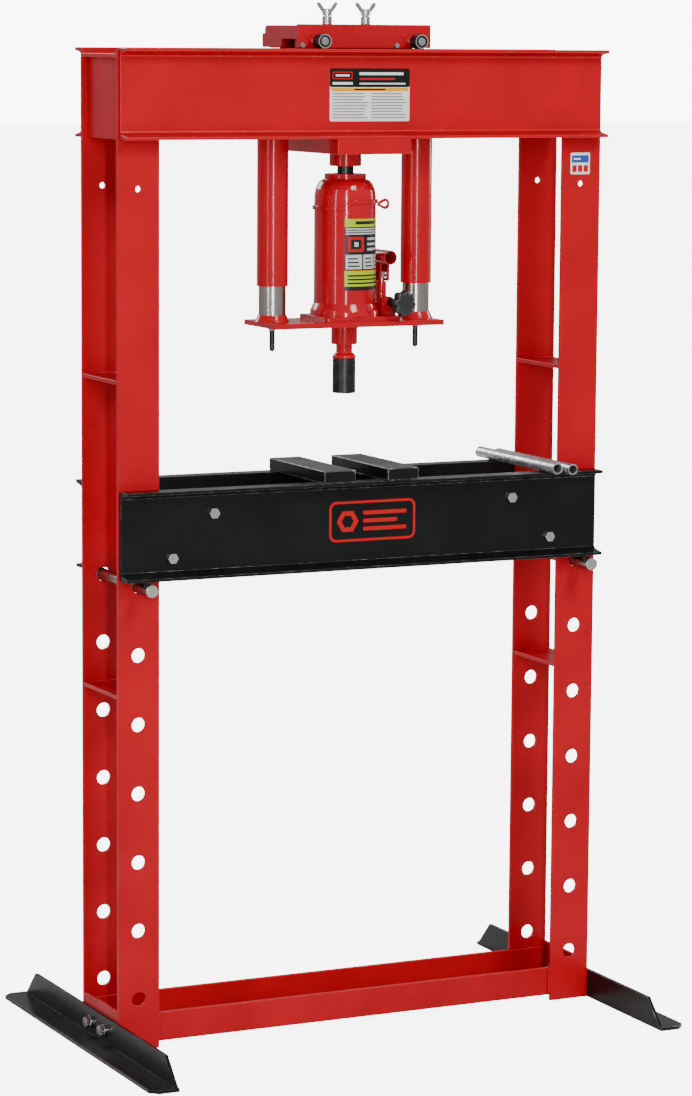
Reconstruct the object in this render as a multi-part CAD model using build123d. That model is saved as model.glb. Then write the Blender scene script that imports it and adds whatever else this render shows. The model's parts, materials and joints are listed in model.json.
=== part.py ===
from build123d import *
import math
import os

# Floor-standing hydraulic H-frame press. A bottle jack stands on a moving press head and
# pushes up against a carriage that rolls along the top beams.
# Millimetres. Origin on the floor at the centre of the frame, X across, Y to the back, Z up.

# ---------------------------------------------------------------- driving dimensions
FRAME_HALF_WIDTH = 462.0        # outer edge of the uprights
STRIP_WIDTH = 76.2
STRIP_THICK = 6.35
STRIP_GAP = 152.4               # clear distance between the front and the rear strips
BEAM_HALF_LENGTH = 459.0
BEAM_HEIGHT = 152.4
BEAM_FLANGE = 34.0              # back of web to flange tip
BEAM_WEB = 6.0
FLANGE_ROOT = 9.0
FLANGE_TIP = 5.0
BEAM_TOP = 1716.0

HOLE_RADIUS = 12.7
HOLE_PITCH = 120.0
LOWEST_HOLE = 90.0
HOLE_COUNT = 7
PIN_RADIUS = 11.1
TOUCH_GAP = 0.3                 # left between curved faces of parts that move apart

BATTEN_LEVELS = (622.0, 1160.0, 1706.0)
END_PLATE_HEIGHT = 70.0
RAIL_BOTTOM = 9.6
RAIL_HEIGHT = 51.0
RAIL_THICK = 8.0
RAIL_WEB = 6.0

FOOT_HALF_LENGTH = 350.0
FOOT_HALF_TOP = 300.0
FOOT_LEG = 50.8
FOOT_THICK = 6.35
FOOT_BOLT_SPACING = 64.0
FOOT_BOLT_HEIGHT = 27.0

GUIDE_SPACING = 278.0
GUIDE_OUTER = 27.2              # radii of the guide tubes
SLIDE_OUTER = 23.6
SLIDE_INNER = 20.0
GUIDE_BOTTOM = 1308.0
GUIDE_TOP = 1690.0
SLIDE_TOP = 1535.0

PLATE_HALF_LENGTH = 163.0
PLATE_HALF_DEPTH = 65.0
PLATE_TOP = 1246.0
PLATE_THICK = 9.0

HEAD_HALF_LENGTH = 70.0
HEAD_THICK = 26.0
CARRIAGE_HALF_LENGTH = 126.0
CARRIAGE_HALF_DEPTH = 74.5
CARRIAGE_TOP = 1757.5
CARRIAGE_PLATE = 8.0
ROLLER_RADIUS = 12.5
ROLLER_HALF_SPACING = 92.0
WING_HALF_SPACING = 37.0

JACK_RADIUS = 54.0
JACK_CAP_RADIUS = 36.5
JACK_CAP_TOP = 1500.5
SHOULDER_TOP = 1491.0
SHOULDER_BOTTOM = 1457.0
RAM_RADIUS = 19.0
SCREW_RADIUS = 14.3
PUMP_X = 68.5
PUMP_Y = -7.0
PUMP_ARM_HEIGHT = 1355.0
PLUNGER_BORE = 5.3
FULCRUM_Y = 22.0
FULCRUM_Z = 1322.0
VALVE_ANGLE = 81.0              # degrees from +X towards the front
VALVE_START = (70.5, -34.0, 1277.0)

NOSE_RADIUS = 20.15
NOSE_BOTTOM = 1117.6

# ---------------------------------------------------------------- derived places
STRIP_INNER = STRIP_GAP / 2
STRIP_OUTER = STRIP_INNER + STRIP_THICK
UPRIGHT_X = FRAME_HALF_WIDTH - STRIP_WIDTH / 2
INNER_X = FRAME_HALF_WIDTH - STRIP_WIDTH
FLANGE_EDGE = STRIP_OUTER + BEAM_FLANGE
BEAM_BOTTOM = BEAM_TOP - BEAM_HEIGHT
PIN_HEIGHT = LOWEST_HOLE + 6 * HOLE_PITCH - (HOLE_RADIUS - PIN_RADIUS) + TOUCH_GAP
BED_BOTTOM = PIN_HEIGHT + PIN_RADIUS + TOUCH_GAP
BED_TOP = BED_BOTTOM + BEAM_HEIGHT
PLATE_BOTTOM = PLATE_TOP - PLATE_THICK
GUIDE_X = GUIDE_SPACING / 2
HEAD_TOP = BEAM_BOTTOM - 0.5
HEAD_BOTTOM = HEAD_TOP - HEAD_THICK
ROLLER_Z = BEAM_TOP + ROLLER_RADIUS + TOUCH_GAP


# ---------------------------------------------------------------- helpers
def block(x, y, z):
    """A box from three (low, high) pairs."""
    size = [high - low for low, high in (x, y, z)]
    centre = [(high + low) / 2 for low, high in (x, y, z)]
    return Pos(*centre) * Box(*size)


def rod_z(x, y, low, high, radius):
    return Pos(x, y, (low + high) / 2) * Cylinder(radius, high - low)


def rod_y(x, z, low, high, radius):
    return Pos(x, (low + high) / 2, z) * Rot(90, 0, 0) * Cylinder(radius, high - low)


def rod_x(y, z, low, high, radius):
    return Pos((low + high) / 2, y, z) * Rot(0, 90, 0) * Cylinder(radius, high - low)


def tube_z(x, y, low, high, outer, inner):
    return rod_z(x, y, low, high, outer) - rod_z(x, y, low - 1, high + 1, inner)


def turned(points, x=0.0, y=0.0):
    """A solid of revolution about a vertical axis from (radius, height) points."""
    face = make_face(Polyline(*[(r, 0, z) for r, z in points], close=True))
    return Pos(x, y, 0) * revolve(face, axis=Axis.Z)


def hexagon_y(x, z, low, high, across_flats):
    """A hexagonal prism lying along Y."""
    radius = across_flats / math.sqrt(3)
    prism = extrude(RegularPolygon(radius, 6), amount=high - low)
    return Pos(x, high, z) * Rot(90, 0, 0) * prism


def hexagon_x(y, z, low, high, across_flats):
    """A hexagonal prism lying along X."""
    radius = across_flats / math.sqrt(3)
    prism = extrude(RegularPolygon(radius, 6), amount=high - low)
    return Pos(low, y, z) * Rot(0, 90, 0) * prism


def hexagon_z(x, y, low, high, across_flats):
    radius = across_flats / math.sqrt(3)
    return Pos(x, y, low) * extrude(RegularPolygon(radius, 6), amount=high - low)


def group(solids):
    return Compound(children=list(solids))


def channel_profile():
    """Rolled channel section: web along the second axis, flanges towards the first axis."""
    half = BEAM_HEIGHT / 2
    slope_start = BEAM_WEB + 4.0
    outline = [
        (0, -half),
        (BEAM_FLANGE, -half),
        (BEAM_FLANGE, -half + FLANGE_TIP),
        (slope_start, -half + FLANGE_ROOT),
        (BEAM_WEB, -half + FLANGE_ROOT + 4.0),
        (BEAM_WEB, half - FLANGE_ROOT - 4.0),
        (slope_start, half - FLANGE_ROOT),
        (BEAM_FLANGE, half - FLANGE_TIP),
        (BEAM_FLANGE, half),
        (0, half),
    ]
    return make_face(Polyline(*outline, close=True))


def channel_along_x(side, bottom):
    """A channel with its web back on the uprights' outer faces, flanges facing outwards."""
    profile = channel_profile()
    if side < 0:
        profile = mirror(profile, about=Plane.YZ)
    solid = extrude(Plane.YZ * profile, amount=BEAM_HALF_LENGTH, both=True)
    return Pos(0, side * STRIP_OUTER, bottom + BEAM_HEIGHT / 2) * solid


# ---------------------------------------------------------------- frame
def upright(side_x, side_y):
    x = side_x * UPRIGHT_X
    y = sorted((side_y * STRIP_INNER, side_y * STRIP_OUTER))
    strip = block((x - STRIP_WIDTH / 2, x + STRIP_WIDTH / 2), y, (0, BEAM_TOP - 1.0))
    for number in range(HOLE_COUNT):
        strip -= rod_y(x, LOWEST_HOLE + number * HOLE_PITCH, y[0] - 1, y[1] + 1, HOLE_RADIUS)
    return strip - rod_y(x, 1481.5, y[0] - 1, y[1] + 1, 5.5)


def battens():
    """Plates that tie the front strips to the rear strips at three levels."""
    solids = []
    for side in (-1, 1):
        x = sorted((side * INNER_X, side * FRAME_HALF_WIDTH))
        for level in BATTEN_LEVELS:
            solids.append(block(x, (-STRIP_INNER, STRIP_INNER), (level - STRIP_THICK, level)))
    return group(solids)


def foot_bolt_places():
    return [s * FOOT_BOLT_SPACING / 2 for s in (-1, 1)]


def end_plates():
    solids = []
    for side in (-1, 1):
        x = sorted((side * (FRAME_HALF_WIDTH - STRIP_THICK), side * FRAME_HALF_WIDTH))
        plate = block(x, (-STRIP_INNER, STRIP_INNER), (0, END_PLATE_HEIGHT))
        for y in foot_bolt_places():
            plate -= rod_x(y, FOOT_BOLT_HEIGHT, x[0] - 1, x[1] + 1, 6.6)
        solids.append(plate)
    return group(solids)


def bottom_rail():
    x = FRAME_HALF_WIDTH - STRIP_THICK
    top = RAIL_BOTTOM + RAIL_HEIGHT
    outer = block((-x, x), (-STRIP_INNER, STRIP_INNER), (RAIL_BOTTOM, top))
    hollow = block(
        (-x - 1, x + 1),
        (-STRIP_INNER + RAIL_THICK, STRIP_INNER - RAIL_THICK),
        (RAIL_BOTTOM + RAIL_WEB, top + 1),
    )
    return outer - hollow


def foot(side):
    """Angle with one leg bolted to the end plate and one on the floor, pointing outwards."""
    inner = FRAME_HALF_WIDTH
    low_y, high_y = -FOOT_HALF_LENGTH, FOOT_HALF_LENGTH
    upright_leg = Polyline(
        (low_y, 0),
        (high_y, 0),
        (FOOT_HALF_TOP, FOOT_LEG),
        (-FOOT_HALF_TOP, FOOT_LEG),
        close=True,
    )
    leg = extrude(Plane.YZ * make_face(upright_leg), amount=FOOT_THICK)
    leg = Pos(inner, 0, 0) * leg
    corner = 14.0
    floor_leg = Polyline(
        (inner, low_y),
        (inner + FOOT_LEG - corner, low_y),
        (inner + FOOT_LEG, low_y + corner),
        (inner + FOOT_LEG, high_y - corner),
        (inner + FOOT_LEG - corner, high_y),
        (inner, high_y),
        close=True,
    )
    angle = leg + extrude(make_face(floor_leg), amount=FOOT_THICK)
    for y in foot_bolt_places():
        angle -= rod_x(y, FOOT_BOLT_HEIGHT, inner - 1, inner + FOOT_THICK + 1, 6.6)
    return angle if side > 0 else mirror(angle, about=Plane.YZ)


def foot_bolts():
    """Hexagon bolts with a washer face under each head."""
    solids = []
    face = FRAME_HALF_WIDTH + FOOT_THICK
    tail = FRAME_HALF_WIDTH - STRIP_THICK - 16.0
    for side in (-1, 1):
        for y in foot_bolt_places():
            bolt = hexagon_x(y, FOOT_BOLT_HEIGHT, face + 2.5, face + 10.5, 18.0)
            bolt += rod_x(y, FOOT_BOLT_HEIGHT, face, face + 2.5, 11.0)
            bolt += rod_x(y, FOOT_BOLT_HEIGHT, tail, face, 6.2)
            solids.append(bolt if side > 0 else mirror(bolt, about=Plane.YZ))
    return group(solids)


def foot_nuts():
    """Flanged nuts on the inside of the end plates."""
    solids = []
    inside = FRAME_HALF_WIDTH - STRIP_THICK
    for side in (-1, 1):
        for y in foot_bolt_places():
            nut = hexagon_x(y, FOOT_BOLT_HEIGHT, inside - 13.0, inside - 2.5, 18.0)
            nut += rod_x(y, FOOT_BOLT_HEIGHT, inside - 2.5, inside, 11.0)
            nut -= rod_x(y, FOOT_BOLT_HEIGHT, inside - 14.0, inside + 1, 6.3)
            solids.append(nut if side > 0 else mirror(nut, about=Plane.YZ))
    return group(solids)


# ---------------------------------------------------------------- bed
BED_BOLTS = ((-288.0, 929.0), (-365.0, 855.0), (288.0, 929.0), (365.0, 855.0))
BED_BOLT_RADIUS = 6.0


def bed_channel(side):
    channel = channel_along_x(side, BED_BOTTOM)
    for x, z in BED_BOLTS:
        y = sorted((side * (STRIP_OUTER - 1), side * (STRIP_OUTER + BEAM_WEB + 1)))
        channel -= rod_y(x, z, y[0], y[1], BED_BOLT_RADIUS + 0.3)
    return channel


def bed_spacers():
    solids = []
    for x, z in BED_BOLTS:
        spacer = rod_y(x, z, -STRIP_OUTER, STRIP_OUTER, 12.0)
        solids.append(spacer - rod_y(x, z, -STRIP_OUTER - 1, STRIP_OUTER + 1, 6.6))
    return group(solids)


def bed_bolts():
    solids = []
    face = STRIP_OUTER + BEAM_WEB
    for x, z in BED_BOLTS:
        head = hexagon_y(x, z, -face - 7.0, -face, 17.0)
        solids.append(head + rod_y(x, z, -face, face + 16.0, BED_BOLT_RADIUS))
    return group(solids)


def bed_nuts():
    solids = []
    face = STRIP_OUTER + BEAM_WEB
    for x, z in BED_BOLTS:
        nut = hexagon_y(x, z, face, face + 10.0, 18.0)
        solids.append(nut - rod_y(x, z, face - 1, face + 11.0, BED_BOLT_RADIUS + 0.1))
    return group(solids)


def bed_pin(side):
    """Round bar through one front and one rear hole, with chamfered ends."""
    pin = rod_y(side * UPRIGHT_X, PIN_HEIGHT, -144.0, 106.0, PIN_RADIUS)
    return chamfer(pin.edges().filter_by(GeomType.CIRCLE), 1.2)


def press_block(side):
    x = sorted((side * 31.0, side * 91.0))
    solid = block(x, (-115.0, 115.0), (BED_TOP, BED_TOP + 22.0))
    return chamfer(solid.edges(), 1.0)


def handle_tube(x, radius, front, back):
    z = BED_TOP + radius + TOUCH_GAP
    return rod_y(x, z, front, back, radius) - rod_y(x, z, front - 1, back + 1, radius - 2.0)


# ---------------------------------------------------------------- carriage and head
def carriage_cover():
    """Top plate between a tall front skirt and a lower rear skirt."""
    x = (-CARRIAGE_HALF_LENGTH, CARRIAGE_HALF_LENGTH)
    inner_y = CARRIAGE_HALF_DEPTH - CARRIAGE_PLATE
    low = BEAM_TOP + 1.5
    top = CARRIAGE_TOP - 2.0
    cover = block((x[0] + 8.0, x[1] - 8.0), (-inner_y, inner_y), (top - CARRIAGE_PLATE, top))
    cover += block(x, (-CARRIAGE_HALF_DEPTH, -inner_y), (low, CARRIAGE_TOP))
    cover += block(x, (inner_y - 2.0, CARRIAGE_HALF_DEPTH), (low, CARRIAGE_TOP - 16.0))
    cover += block((x[0] + 8.0, x[1] - 8.0), (inner_y - 2.0, inner_y), (low, top))
    for side in (-1, 1):
        for x_axle in (-ROLLER_HALF_SPACING, ROLLER_HALF_SPACING):
            cut = sorted((side * (inner_y - 4), side * (CARRIAGE_HALF_DEPTH + 1)))
            cover -= rod_y(x_axle, ROLLER_Z, cut[0], cut[1], 6.0)
        for x_screw in SET_SCREWS:
            cut = sorted((side * (inner_y - 4), side * (CARRIAGE_HALF_DEPTH + 1)))
            cover -= rod_y(x_screw, SET_SCREW_Z, cut[0], cut[1], 3.2)
    for x_wing in (-WING_HALF_SPACING, WING_HALF_SPACING):
        cover -= rod_z(x_wing, 0, CARRIAGE_TOP - 20, CARRIAGE_TOP + 1, 5.2)
    return cover


SET_SCREWS = (-125.0 + 6.0, 60.0)
SET_SCREW_Z = BEAM_TOP + 6.0


def carriage_ends():
    """End plates with rounded top corners and a long notch at the bottom front."""
    inner_y = CARRIAGE_HALF_DEPTH - CARRIAGE_PLATE
    rear_y = inner_y - 2.0
    top = CARRIAGE_TOP - 2.0
    solids = []
    for side in (-1, 1):
        x = sorted((side * (CARRIAGE_HALF_LENGTH - 8.0), side * CARRIAGE_HALF_LENGTH))
        plate = block(x, (-inner_y, rear_y), (BEAM_TOP + 1.5, top))
        corner = plate.edges().filter_by(Axis.X).group_by(Axis.Z)[-1].sort_by(Axis.Y)[-1]
        plate = fillet(corner, 8.0)
        notch_y = (-inner_y - 1, -inner_y + 62.0)
        solids.append(plate - block((x[0] - 1, x[1] + 1), notch_y, (BEAM_TOP, BEAM_TOP + 16.0)))
    return group(solids)


def hanger_plates():
    """Plates between the beams that join the guide tubes, the head block and the cover."""
    solids = []
    for side in (-1, 1):
        y = sorted((side * (GUIDE_OUTER + 0.1), side * (GUIDE_OUTER + 8.1)))
        low = block((-GUIDE_X - 24.0, GUIDE_X + 24.0), y, (HEAD_TOP, 1700.0))
        high = block((-112.0, 112.0), y, (1700.0, CARRIAGE_TOP - CARRIAGE_PLATE - 2.0))
        solids.append(low + high)
    return group(solids)


def head_block():
    """Block that bears up on the beams, with the socket for the jack's screw welded under it."""
    x = (-HEAD_HALF_LENGTH, HEAD_HALF_LENGTH)
    body = block(x, (-FLANGE_EDGE, FLANGE_EDGE), (HEAD_BOTTOM, HEAD_TOP))
    body += rod_z(0, 0, HEAD_BOTTOM - 23.5, HEAD_BOTTOM, 27.9)
    return body - rod_z(0, 0, HEAD_BOTTOM - 24.5, HEAD_BOTTOM - 6.0, SCREW_RADIUS + 0.4)


def guide_tubes():
    solids = []
    for side in (-1, 1):
        x = side * GUIDE_X
        tube = tube_z(x, 0, GUIDE_BOTTOM, GUIDE_TOP, GUIDE_OUTER, SLIDE_OUTER + TOUCH_GAP)
        solids.append(tube - rod_y(x, SPRING_TOP, -GUIDE_OUTER - 1, GUIDE_OUTER + 1, 4.0))
    return group(solids)


def spring_pins():
    """Cross pins near the tops of the guide tubes that the return springs hang from."""
    return group(
        rod_y(side * GUIDE_X, SPRING_TOP, -GUIDE_OUTER, GUIDE_OUTER, 4.0) for side in (-1, 1)
    )


def roller(side_x, side_y):
    x = side_x * ROLLER_HALF_SPACING
    y = sorted((side_y * 87.0, side_y * 109.0))
    body = rod_y(x, ROLLER_Z, y[0], y[1], ROLLER_RADIUS)
    body = chamfer(body.edges().filter_by(GeomType.CIRCLE), 0.8)
    body -= rod_y(x, ROLLER_Z, y[0] - 1, y[1] + 1, 6.3)
    recess = sorted((side_y * 105.0, side_y * 110.0))
    return body - rod_y(x, ROLLER_Z, recess[0], recess[1], 10.2)


def roller_axles():
    """Shouldered studs: shaft, shoulder against the cover's skirt and end washer."""
    solids = []
    for side_y in (-1, 1):
        for side_x in (-1, 1):
            x = side_x * ROLLER_HALF_SPACING
            spans = ((62.0, 110.5, 5.95), (CARRIAGE_HALF_DEPTH, 86.5, 9.0), (107.0, 110.0, 6.8))
            stud = None
            for near, far, radius in spans:
                y = sorted((side_y * near, side_y * far))
                piece = rod_y(x, ROLLER_Z, y[0], y[1], radius)
                stud = piece if stud is None else stud + piece
            solids.append(stud)
    return group(solids)


def set_screws():
    solids = []
    face = CARRIAGE_HALF_DEPTH
    for side in (-1, 1):
        for x in SET_SCREWS:
            shank = sorted((side * (face - CARRIAGE_PLATE), side * face))
            head = sorted((side * face, side * (face + 4.0)))
            screw = rod_y(x, SET_SCREW_Z, shank[0], shank[1], 3.1)
            solids.append(screw + rod_y(x, SET_SCREW_Z, head[0], head[1], 4.5))
    return group(solids)


def wing_sleeve(x):
    """Threaded sleeve standing on the cover, that the wing screw runs in."""
    return tube_z(x, 0, CARRIAGE_TOP - 2.0, CARRIAGE_TOP + 14.0, 8.5, 5.2)


def wing_screw(x):
    """Stem with a tapered hub and two ears, all turning together."""
    top = CARRIAGE_TOP
    stem = rod_z(x, 0, top - 16.0, top + 16.0, 4.9)
    hub = turned([(0, top + 15.0), (8.5, top + 15.0), (7.6, top + 27.0), (0, top + 27.0)], x)
    screw = stem + hub
    for side in (-1, 1):
        ear = Polyline(
            (side * 4.0, top + 18.0),
            (side * 9.5, top + 21.0),
            (side * 18.0, top + 31.5),
            (side * 19.5, top + 35.5),
            (side * 17.0, top + 38.0),
            (side * 13.5, top + 36.5),
            (side * 6.0, top + 26.0),
            (side * 4.0, top + 26.0),
            close=True,
        )
        face = Plane.XZ * make_face(ear)
        screw += Pos(x, 0, 0) * extrude(face, amount=2.0, both=True)
    return screw


# ---------------------------------------------------------------- moving press head
def press_plate():
    x = (-PLATE_HALF_LENGTH, PLATE_HALF_LENGTH)
    y = (-PLATE_HALF_DEPTH, PLATE_HALF_DEPTH)
    plate = block(x, y, (PLATE_BOTTOM, PLATE_TOP))
    for side in (-1, 1):
        plate -= rod_z(side * GUIDE_X, 0, PLATE_BOTTOM - 1, PLATE_TOP + 1, 5.2)
    return plate


def slide_tubes():
    return group(
        tube_z(s * GUIDE_X, 0, PLATE_TOP, SLIDE_TOP, SLIDE_OUTER, SLIDE_INNER) for s in (-1, 1)
    )


def weld_collars():
    """Rings of weld metal at the feet of the slide tubes."""
    outline = [
        (SLIDE_OUTER, PLATE_TOP),
        (SLIDE_OUTER + 7.0, PLATE_TOP),
        (SLIDE_OUTER + 4.5, PLATE_TOP + 5.0),
        (SLIDE_OUTER + 1.2, PLATE_TOP + 12.0),
        (SLIDE_OUTER, PLATE_TOP + 12.0),
    ]
    return group(turned(outline, side * GUIDE_X) for side in (-1, 1))


SPRING_TOP = 1672.0
SPRING_BOTTOM = 1292.0
SPRING_MEAN = 13.0
SPRING_WIRE = 2.0


def spring_rods():
    solids = []
    for side in (-1, 1):
        rod = rod_z(side * GUIDE_X, 0, 1199.0, SPRING_BOTTOM, 4.8)
        tip = Pos(side * GUIDE_X, 0, 1199.0) * Sphere(4.8)
        plug = rod_z(side * GUIDE_X, 0, SPRING_BOTTOM - 6.0, SPRING_BOTTOM + 14.0, 10.6)
        solids.append(rod + tip + plug)
    return group(solids)


def rod_nuts():
    solids = []
    for side in (-1, 1):
        nut = hexagon_z(side * GUIDE_X, 0, PLATE_BOTTOM - 6.0, PLATE_BOTTOM, 13.0)
        solids.append(nut - rod_z(side * GUIDE_X, 0, PLATE_BOTTOM - 7.0, PLATE_TOP, 4.9))
    return group(solids)


def return_spring(side):
    """Extension spring inside a guide tube, from the rod's plug to the cross pin."""
    height = SPRING_TOP - 6.0 - SPRING_BOTTOM
    path = Helix(pitch=height / 28, height=height, radius=SPRING_MEAN)
    section = Plane(origin=path @ 0, z_dir=path % 0) * Circle(SPRING_WIRE)
    coil = sweep(section, path=path, is_frenet=True)
    return Pos(side * GUIDE_X, 0, SPRING_BOTTOM) * coil


def valve_direction():
    angle = math.radians(VALVE_ANGLE)
    return (math.cos(angle), -math.sin(angle), 0)


def along_valve(start, end, radius):
    """A cylinder along the release valve's axis between two distances from its start."""
    plane = Plane(origin=VALVE_START, z_dir=valve_direction())
    return plane * Pos(0, 0, (start + end) / 2) * Cylinder(radius, end - start)


def jack_base():
    floor = PLATE_TOP
    foot_plate = block((-62.0, 85.0), (-58.0, 58.0), (floor, floor + 8.0))
    foot_plate = fillet(foot_plate.edges().filter_by(Axis.Z), 8.0)
    skirt_outline = [
        (0, floor + 8.0),
        (60.5, floor + 8.0),
        (60.5, floor + 16.0),
        (JACK_RADIUS, floor + 30.0),
        (0, floor + 30.0),
    ]
    skirt = turned(skirt_outline)
    pump_boss = block((PUMP_X - 12.0, 84.0), (-33.0, 36.0), (floor + 8.0, floor + 30.0))
    valve_boss = along_valve(-13.0, 2.0, 10.0)
    base = foot_plate + skirt + pump_boss + valve_boss
    base -= along_valve(-12.5, 3.0, 5.0 + TOUCH_GAP)
    base -= rod_z(0, 0, floor + 22.0, floor + 31.0, 31.05)
    base -= rod_z(PUMP_X, PUMP_Y, floor + 14.0, floor + 31.0, PLUNGER_BORE)
    return base


def jack_reservoir():
    """Tank shell with a domed shoulder, open at the bottom onto the base."""
    wall = 3.0
    neck = JACK_CAP_RADIUS
    low = PLATE_TOP + 30.0
    rise = SHOULDER_TOP - SHOULDER_BOTTOM
    run = JACK_RADIUS - neck
    steps = 6
    dome = []
    for number in range(steps + 1):
        angle = math.pi / 2 * number / steps
        dome.append((neck + run * math.cos(angle), SHOULDER_BOTTOM + rise * math.sin(angle)))
    inner = [(r - wall, z - wall) for r, z in reversed(dome)]
    hole = 26.2
    outline = [(JACK_RADIUS, low)] + dome
    outline += [(hole, SHOULDER_TOP), (hole, SHOULDER_TOP - wall)] + inner
    outline += [(JACK_RADIUS - wall, low)]
    return turned(outline)


def jack_cylinder():
    return tube_z(0, 0, PLATE_TOP + 22.0, SHOULDER_TOP - 3.5, 31.0, 25.0)


def jack_cap():
    ring = tube_z(0, 0, SHOULDER_TOP, JACK_CAP_TOP, JACK_CAP_RADIUS, RAM_RADIUS + TOUCH_GAP)
    plug = tube_z(0, 0, SHOULDER_TOP - 20.0, SHOULDER_TOP, 24.9, RAM_RADIUS + TOUCH_GAP)
    return ring + plug


def jack_ram():
    """Piston and rod; the rod's bore holds the extension screw."""
    rod = rod_z(0, 0, 1300.0, JACK_CAP_TOP - 1.0, RAM_RADIUS)
    piston = rod_z(0, 0, PLATE_TOP + 26.0, 1300.0, 24.7)
    return rod + piston - rod_z(0, 0, JACK_CAP_TOP - 110.0, JACK_CAP_TOP + 1, SCREW_RADIUS + 0.1)


def jack_screw():
    return rod_z(0, 0, JACK_CAP_TOP - 109.0, HEAD_BOTTOM - 6.5, SCREW_RADIUS)


def jack_band():
    """Carrying strap round the tank with a lifting loop on the pump side."""
    radius = JACK_RADIUS + 0.2
    strap = tube_z(0, 0, 1446.0, 1453.0, radius + 2.4, radius)
    loop = block((radius - 3.0, 77.0), (-26.0, -20.0), (1436.0, 1455.0))
    loop = fillet(loop.edges().filter_by(Axis.Y).group_by(Axis.X)[-1], 7.0)
    hole = block((radius - 4.0, 73.0), (-27.0, -19.0), (1440.0, 1451.0))
    hole = fillet(hole.edges().filter_by(Axis.Y).group_by(Axis.X)[-1], 4.0)
    return strap + (loop - hole) - rod_z(0, 0, 1430.0, 1460.0, radius)


def pump_block():
    """Pump barrel with the post and cross pin that the pump arm pivots on."""
    low = PLATE_TOP + 30.0
    barrel = tube_z(PUMP_X, PUMP_Y, low, low + 36.0, 8.5, PLUNGER_BORE)
    tongue = (PUMP_X - 4.0, PUMP_X + 4.0)
    post = block(tongue, (FULCRUM_Y - 6.0, FULCRUM_Y + 6.0), (low, FULCRUM_Z))
    post += rod_x(FULCRUM_Y, FULCRUM_Z, tongue[0], tongue[1], 6.0)
    post += rod_x(FULCRUM_Y, FULCRUM_Z, PUMP_X - 10.5, PUMP_X + 10.5, 3.0)
    web = block((PUMP_X - 3.0, PUMP_X + 3.0), (PUMP_Y + 7.0, FULCRUM_Y), (low, low + 14.0))
    return barrel + post + web


def pump_plunger():
    """Plunger rod with a flattened head and its cross pin."""
    low = PLATE_TOP + 15.0
    rod = rod_z(PUMP_X, PUMP_Y, low, FULCRUM_Z - 3.6, 5.0)
    tongue = (PUMP_X - 4.0, PUMP_X + 4.0)
    head = block(tongue, (PUMP_Y - 5.8, PUMP_Y + 5.8), (FULCRUM_Z - 4.0, FULCRUM_Z + 7.0))
    pin = rod_x(PUMP_Y, FULCRUM_Z, PUMP_X - 10.5, PUMP_X + 10.5, 3.0)
    return rod + head + pin


def pump_arm():
    """Two cheeks round the fulcrum and plunger, under the socket that takes the handle."""
    outer = 12.6
    cheeks = None
    for side in (-1, 1):
        x = sorted((PUMP_X + side * 5.5, PUMP_X + side * 9.5))
        cheek = block(x, (PUMP_Y - 12.0, FULCRUM_Y + 9.0), (FULCRUM_Z - 9.0, PUMP_ARM_HEIGHT))
        cheeks = cheek if cheeks is None else cheeks + cheek
    socket = rod_y(PUMP_X, PUMP_ARM_HEIGHT, -42.0, FULCRUM_Y + 9.0, outer)
    arm = cheeks + socket
    arm -= rod_y(PUMP_X, PUMP_ARM_HEIGHT, -43.0, 2.0, 10.5)
    arm -= rod_x(FULCRUM_Y, FULCRUM_Z, PUMP_X - 11.0, PUMP_X + 11.0, 3.0 + TOUCH_GAP)
    wide = (PUMP_X - 11.0, PUMP_X + 11.0)
    slot = block(wide, (PUMP_Y - 6.0, PUMP_Y + 8.5), (FULCRUM_Z - 4.6, FULCRUM_Z + 4.6))
    return arm - slot


def release_spindle():
    return along_valve(-12.0, 44.0, 5.0) + along_valve(4.0, 12.0, 7.5)


def release_knob():
    """Eight-lobed hand knob on the valve spindle."""
    body = along_valve(34.0, 52.0, 17.5) + along_valve(28.0, 34.0, 9.0)
    plane = Plane(origin=VALVE_START, z_dir=valve_direction())
    for number in range(8):
        angle = 2 * math.pi * number / 8
        lobe = Pos(16.5 * math.cos(angle), 16.5 * math.sin(angle), 43.0) * Cylinder(6.0, 18.0)
        body += plane * lobe
    return body - along_valve(20.0, 44.0, 5.0)


def press_ram():
    """Boss welded under the plate, necked down to the collar and spigot of the nose."""
    outline = [
        (0, PLATE_BOTTOM),
        (22.9, PLATE_BOTTOM),
        (22.9, 1203.4),
        (14.3, 1203.4),
        (14.3, 1189.0),
        (NOSE_RADIUS - 1.0, 1184.5),
        (NOSE_RADIUS + 0.5, 1183.0),
        (NOSE_RADIUS + 0.5, 1179.0),
        (12.5, 1179.0),
        (12.5, 1144.0),
        (0, 1144.0),
    ]
    return turned(outline)


def press_nose():
    body = rod_z(0, 0, NOSE_BOTTOM, 1179.0, NOSE_RADIUS)
    body = chamfer(body.edges().group_by(Axis.Z)[0], 1.2)
    return body - rod_z(0, 0, 1143.0, 1180.0, 12.6)


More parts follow.
